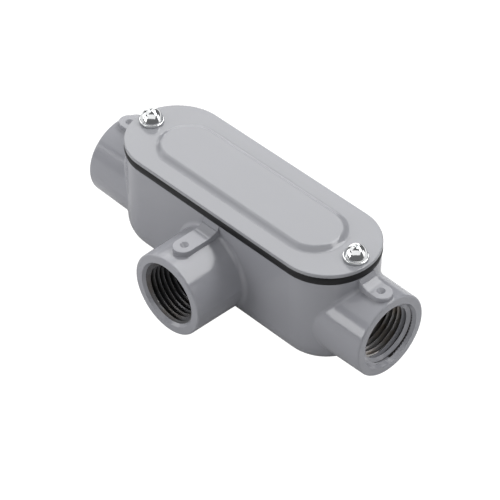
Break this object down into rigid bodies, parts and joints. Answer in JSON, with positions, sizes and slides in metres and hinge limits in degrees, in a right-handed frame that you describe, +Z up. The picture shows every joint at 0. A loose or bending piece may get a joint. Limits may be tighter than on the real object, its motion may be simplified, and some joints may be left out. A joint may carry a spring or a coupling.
{
  "type": "conduit body",
  "caption": "Tee conduit body: a painted die-cast wiring trough with threaded hubs, closed by a raised-panel cover on a rubber gasket with screws.",
  "frame": {"origin": "centre of the flat underside of the body", "axes": "+Z up through the cover, +X along the run from the left hub to the right hub, and the branch hub points along -Y"},
  "size_m": [0.1226, 0.0533, 0.044],
  "materials": {
    "body_paint": "satin grey paint on die-cast aluminium",
    "cover_paint": "satin grey paint on pressed sheet",
    "gasket_rubber": "matt black",
    "screw_plate": "bright zinc plate"
  },
  "bodies": {
    "casting": {"body": "body_paint"},
    "lid": {"cover": "cover_paint", "gasket": "gasket_rubber"},
    "left_screw": {"cover_screw_left": "screw_plate"},
    "right_screw": {"cover_screw_right": "screw_plate"}
  },
  "joints": [
    {"name": "lid_lift", "type": "slide", "parent": "casting", "child": "lid", "axis": [0, 0, 1], "range_m": [0, 0.04]},
    {"name": "left_screw_turn", "type": "hinge", "parent": "lid", "child": "left_screw", "pos_m": [-0.0457, 0, 0.0392], "axis": [0, 0, 1], "continuous": true},
    {"name": "right_screw_turn", "type": "hinge", "parent": "lid", "child": "right_screw", "pos_m": [0.0457, 0, 0.0392], "axis": [0, 0, 1], "continuous": true}
  ]
}
